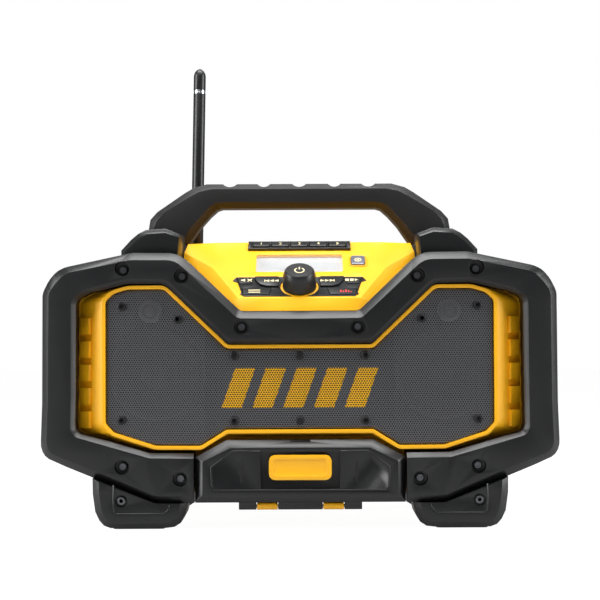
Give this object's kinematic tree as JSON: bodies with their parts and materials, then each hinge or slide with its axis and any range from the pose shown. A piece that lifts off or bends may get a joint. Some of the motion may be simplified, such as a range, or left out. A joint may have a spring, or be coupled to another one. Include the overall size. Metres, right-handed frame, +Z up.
{
  "type": "jobsite radio",
  "caption": "Rugged jobsite radio with a handle over the top, rubber bumper frames, a perforated grille, sloping controls, a drop-down door and a folding antenna.",
  "frame": {"origin": "centre of the radio's footprint, on the surface it stands on", "axes": "+X to the radio's right side as seen from the front, -Y out of the grille, +Z up"},
  "size_m": [0.4398, 0.22, 0.4168],
  "materials": {
    "yellow_plastic": "fine moulded texture",
    "black_plastic": "satin",
    "black_rubber": "matte",
    "steel": "plain",
    "black_steel": "black oxide",
    "grille_steel": "dark powder coat",
    "chrome": "polished",
    "cone_paper": "matte",
    "lens": "clear",
    "module_plastic": "matte",
    "silver_plastic": "satin silver",
    "board": "solder mask",
    "core_iron": "plain"
  },
  "bodies": {
    "housing": {"front_housing": "yellow_plastic", "rear_housing": "yellow_plastic", "console_panel": "yellow_plastic", "front_guard": "black_rubber", "rear_guard": "black_rubber", "handle": "black_rubber", "shoulder_left": "black_rubber", "shoulder_right": "black_rubber", "handle_screws": "black_steel", "foot_front_left": "black_rubber", "foot_front_right": "black_rubber", "foot_rear_left": "black_rubber", "foot_rear_right": "black_rubber", "foot_pads": "black_rubber", "guard_screws": "black_steel", "grille_screws": "black_steel", "baffle": "black_plastic", "speaker_grille": "grille_steel", "woofer_frames": "steel", "woofer_cones": "cone_paper", "tweeters": "steel", "hinge_pin": "steel", "port_bay": "black_plastic", "aux_socket": "black_plastic", "usb_socket": "steel", "display_lens": "lens", "display_module": "module_plastic", "encoder_body": "steel", "keypad_bezel": "black_plastic", "preset_trim": "black_plastic", "battery_dock": "black_plastic", "dock_terminals": "black_plastic", "mains_inlet": "black_plastic", "main_board": "board", "transformer": "core_iron", "antenna_turret": "black_plastic"},
    "door": {"storage_door": "black_plastic", "latch_spring": "steel"},
    "latch": {"door_latch": "yellow_plastic"},
    "encoder": {"encoder_shaft": "steel"},
    "knob": {"volume_knob": "black_plastic"},
    "swivel": {"antenna_fork": "black_plastic", "antenna_pin": "steel"},
    "sleeve": {"antenna_sleeve": "black_plastic"},
    "stage_1": {"antenna_stage_1": "chrome"},
    "stage_2": {"antenna_stage_2": "chrome", "antenna_cap": "black_plastic"},
    "key_mute_cap": {"key_mute": "black_plastic"},
    "key_menu_cap": {"key_menu": "black_plastic"},
    "key_previous_cap": {"key_previous": "black_plastic"},
    "key_next_cap": {"key_next": "black_plastic"},
    "key_mode_cap": {"key_mode": "black_plastic"},
    "key_tone_cap": {"key_tone": "black_plastic"},
    "pair_button_cap": {"pair_button": "silver_plastic"},
    "preset_1_cap": {"preset_1": "black_plastic"},
    "preset_2_cap": {"preset_2": "black_plastic"},
    "preset_3_cap": {"preset_3": "black_plastic"},
    "preset_4_cap": {"preset_4": "black_plastic"},
    "preset_5_cap": {"preset_5": "black_plastic"}
  },
  "joints": [
    {"name": "door_hinge", "type": "hinge", "parent": "housing", "child": "door", "pos_m": [0, -0.099, 0.0193], "axis": [1, 0, 0], "range_deg": [0, 95]},
    {"name": "latch_slide", "type": "slide", "parent": "door", "child": "latch", "axis": [0, 0, -1], "range_m": [0, 0.006], "stiffness_N_per_m": 400, "springref_m": -0.002, "deforming": ["latch_spring"]},
    {"name": "knob_push", "type": "slide", "parent": "housing", "child": "encoder", "axis": [0, 0.5446, -0.8387], "range_m": [0, 0.0005], "stiffness_N_per_m": 2000, "springref_m": -0.0005},
    {"name": "knob_turn", "type": "hinge", "parent": "encoder", "child": "knob", "pos_m": [0, -0.08507, 0.20469], "axis": [0, -0.5446, 0.8387], "continuous": true},
    {"name": "key_mute_press", "type": "slide", "parent": "housing", "child": "key_mute_cap", "axis": [0, 0.5446, -0.8387], "range_m": [0, 0.001], "stiffness_N_per_m": 600, "springref_m": -0.0005},
    {"name": "key_menu_press", "type": "slide", "parent": "housing", "child": "key_menu_cap", "axis": [0, 0.5446, -0.8387], "range_m": [0, 0.001], "stiffness_N_per_m": 600, "springref_m": -0.0005},
    {"name": "key_previous_press", "type": "slide", "parent": "housing", "child": "key_previous_cap", "axis": [0, 0.5446, -0.8387], "range_m": [0, 0.001], "stiffness_N_per_m": 600, "springref_m": -0.0005},
    {"name": "key_next_press", "type": "slide", "parent": "housing", "child": "key_next_cap", "axis": [0, 0.5446, -0.8387], "range_m": [0, 0.001], "stiffness_N_per_m": 600, "springref_m": -0.0005},
    {"name": "key_mode_press", "type": "slide", "parent": "housing", "child": "key_mode_cap", "axis": [0, 0.5446, -0.8387], "range_m": [0, 0.001], "stiffness_N_per_m": 600, "springref_m": -0.0005},
    {"name": "key_tone_press", "type": "slide", "parent": "housing", "child": "key_tone_cap", "axis": [0, 0.5446, -0.8387], "range_m": [0, 0.001], "stiffness_N_per_m": 600, "springref_m": -0.0005},
    {"name": "pair_button_press", "type": "slide", "parent": "housing", "child": "pair_button_cap", "axis": [0, 0.5446, -0.8387], "range_m": [0, 0.001], "stiffness_N_per_m": 600, "springref_m": -0.0005},
    {"name": "preset_1_press", "type": "slide", "parent": "housing", "child": "preset_1_cap", "axis": [0, 0.5446, -0.8387], "range_m": [0, 0.001], "stiffness_N_per_m": 600, "springref_m": -0.0005},
    {"name": "preset_2_press", "type": "slide", "parent": "housing", "child": "preset_2_cap", "axis": [0, 0.5446, -0.8387], "range_m": [0, 0.001], "stiffness_N_per_m": 600, "springref_m": -0.0005},
    {"name": "preset_3_press", "type": "slide", "parent": "housing", "child": "preset_3_cap", "axis": [0, 0.5446, -0.8387], "range_m": [0, 0.001], "stiffness_N_per_m": 600, "springref_m": -0.0005},
    {"name": "preset_4_press", "type": "slide", "parent": "housing", "child": "preset_4_cap", "axis": [0, 0.5446, -0.8387], "range_m": [0, 0.001], "stiffness_N_per_m": 600, "springref_m": -0.0005},
    {"name": "preset_5_press", "type": "slide", "parent": "housing", "child": "preset_5_cap", "axis": [0, 0.5446, -0.8387], "range_m": [0, 0.001], "stiffness_N_per_m": 600, "springref_m": -0.0005},
    {"name": "antenna_swivel", "type": "hinge", "parent": "housing", "child": "swivel", "pos_m": [-0.0969, 0.054, 0.234], "axis": [0, 0, 1], "range_deg": [0, 180]},
    {"name": "antenna_tilt", "type": "hinge", "parent": "swivel", "child": "sleeve", "pos_m": [-0.0969, 0.054, 0.243], "axis": [0, 1, 0], "range_deg": [-1.1, 88.9]},
    {"name": "stage_1_slide", "type": "slide", "parent": "sleeve", "child": "stage_1", "axis": [0.0192, 0, 0.9998], "range_m": [0, 0.11]},
    {"name": "stage_2_slide", "type": "slide", "parent": "stage_1", "child": "stage_2", "axis": [0.0192, 0, 0.9998], "range_m": [0, 0.11]}
  ]
}
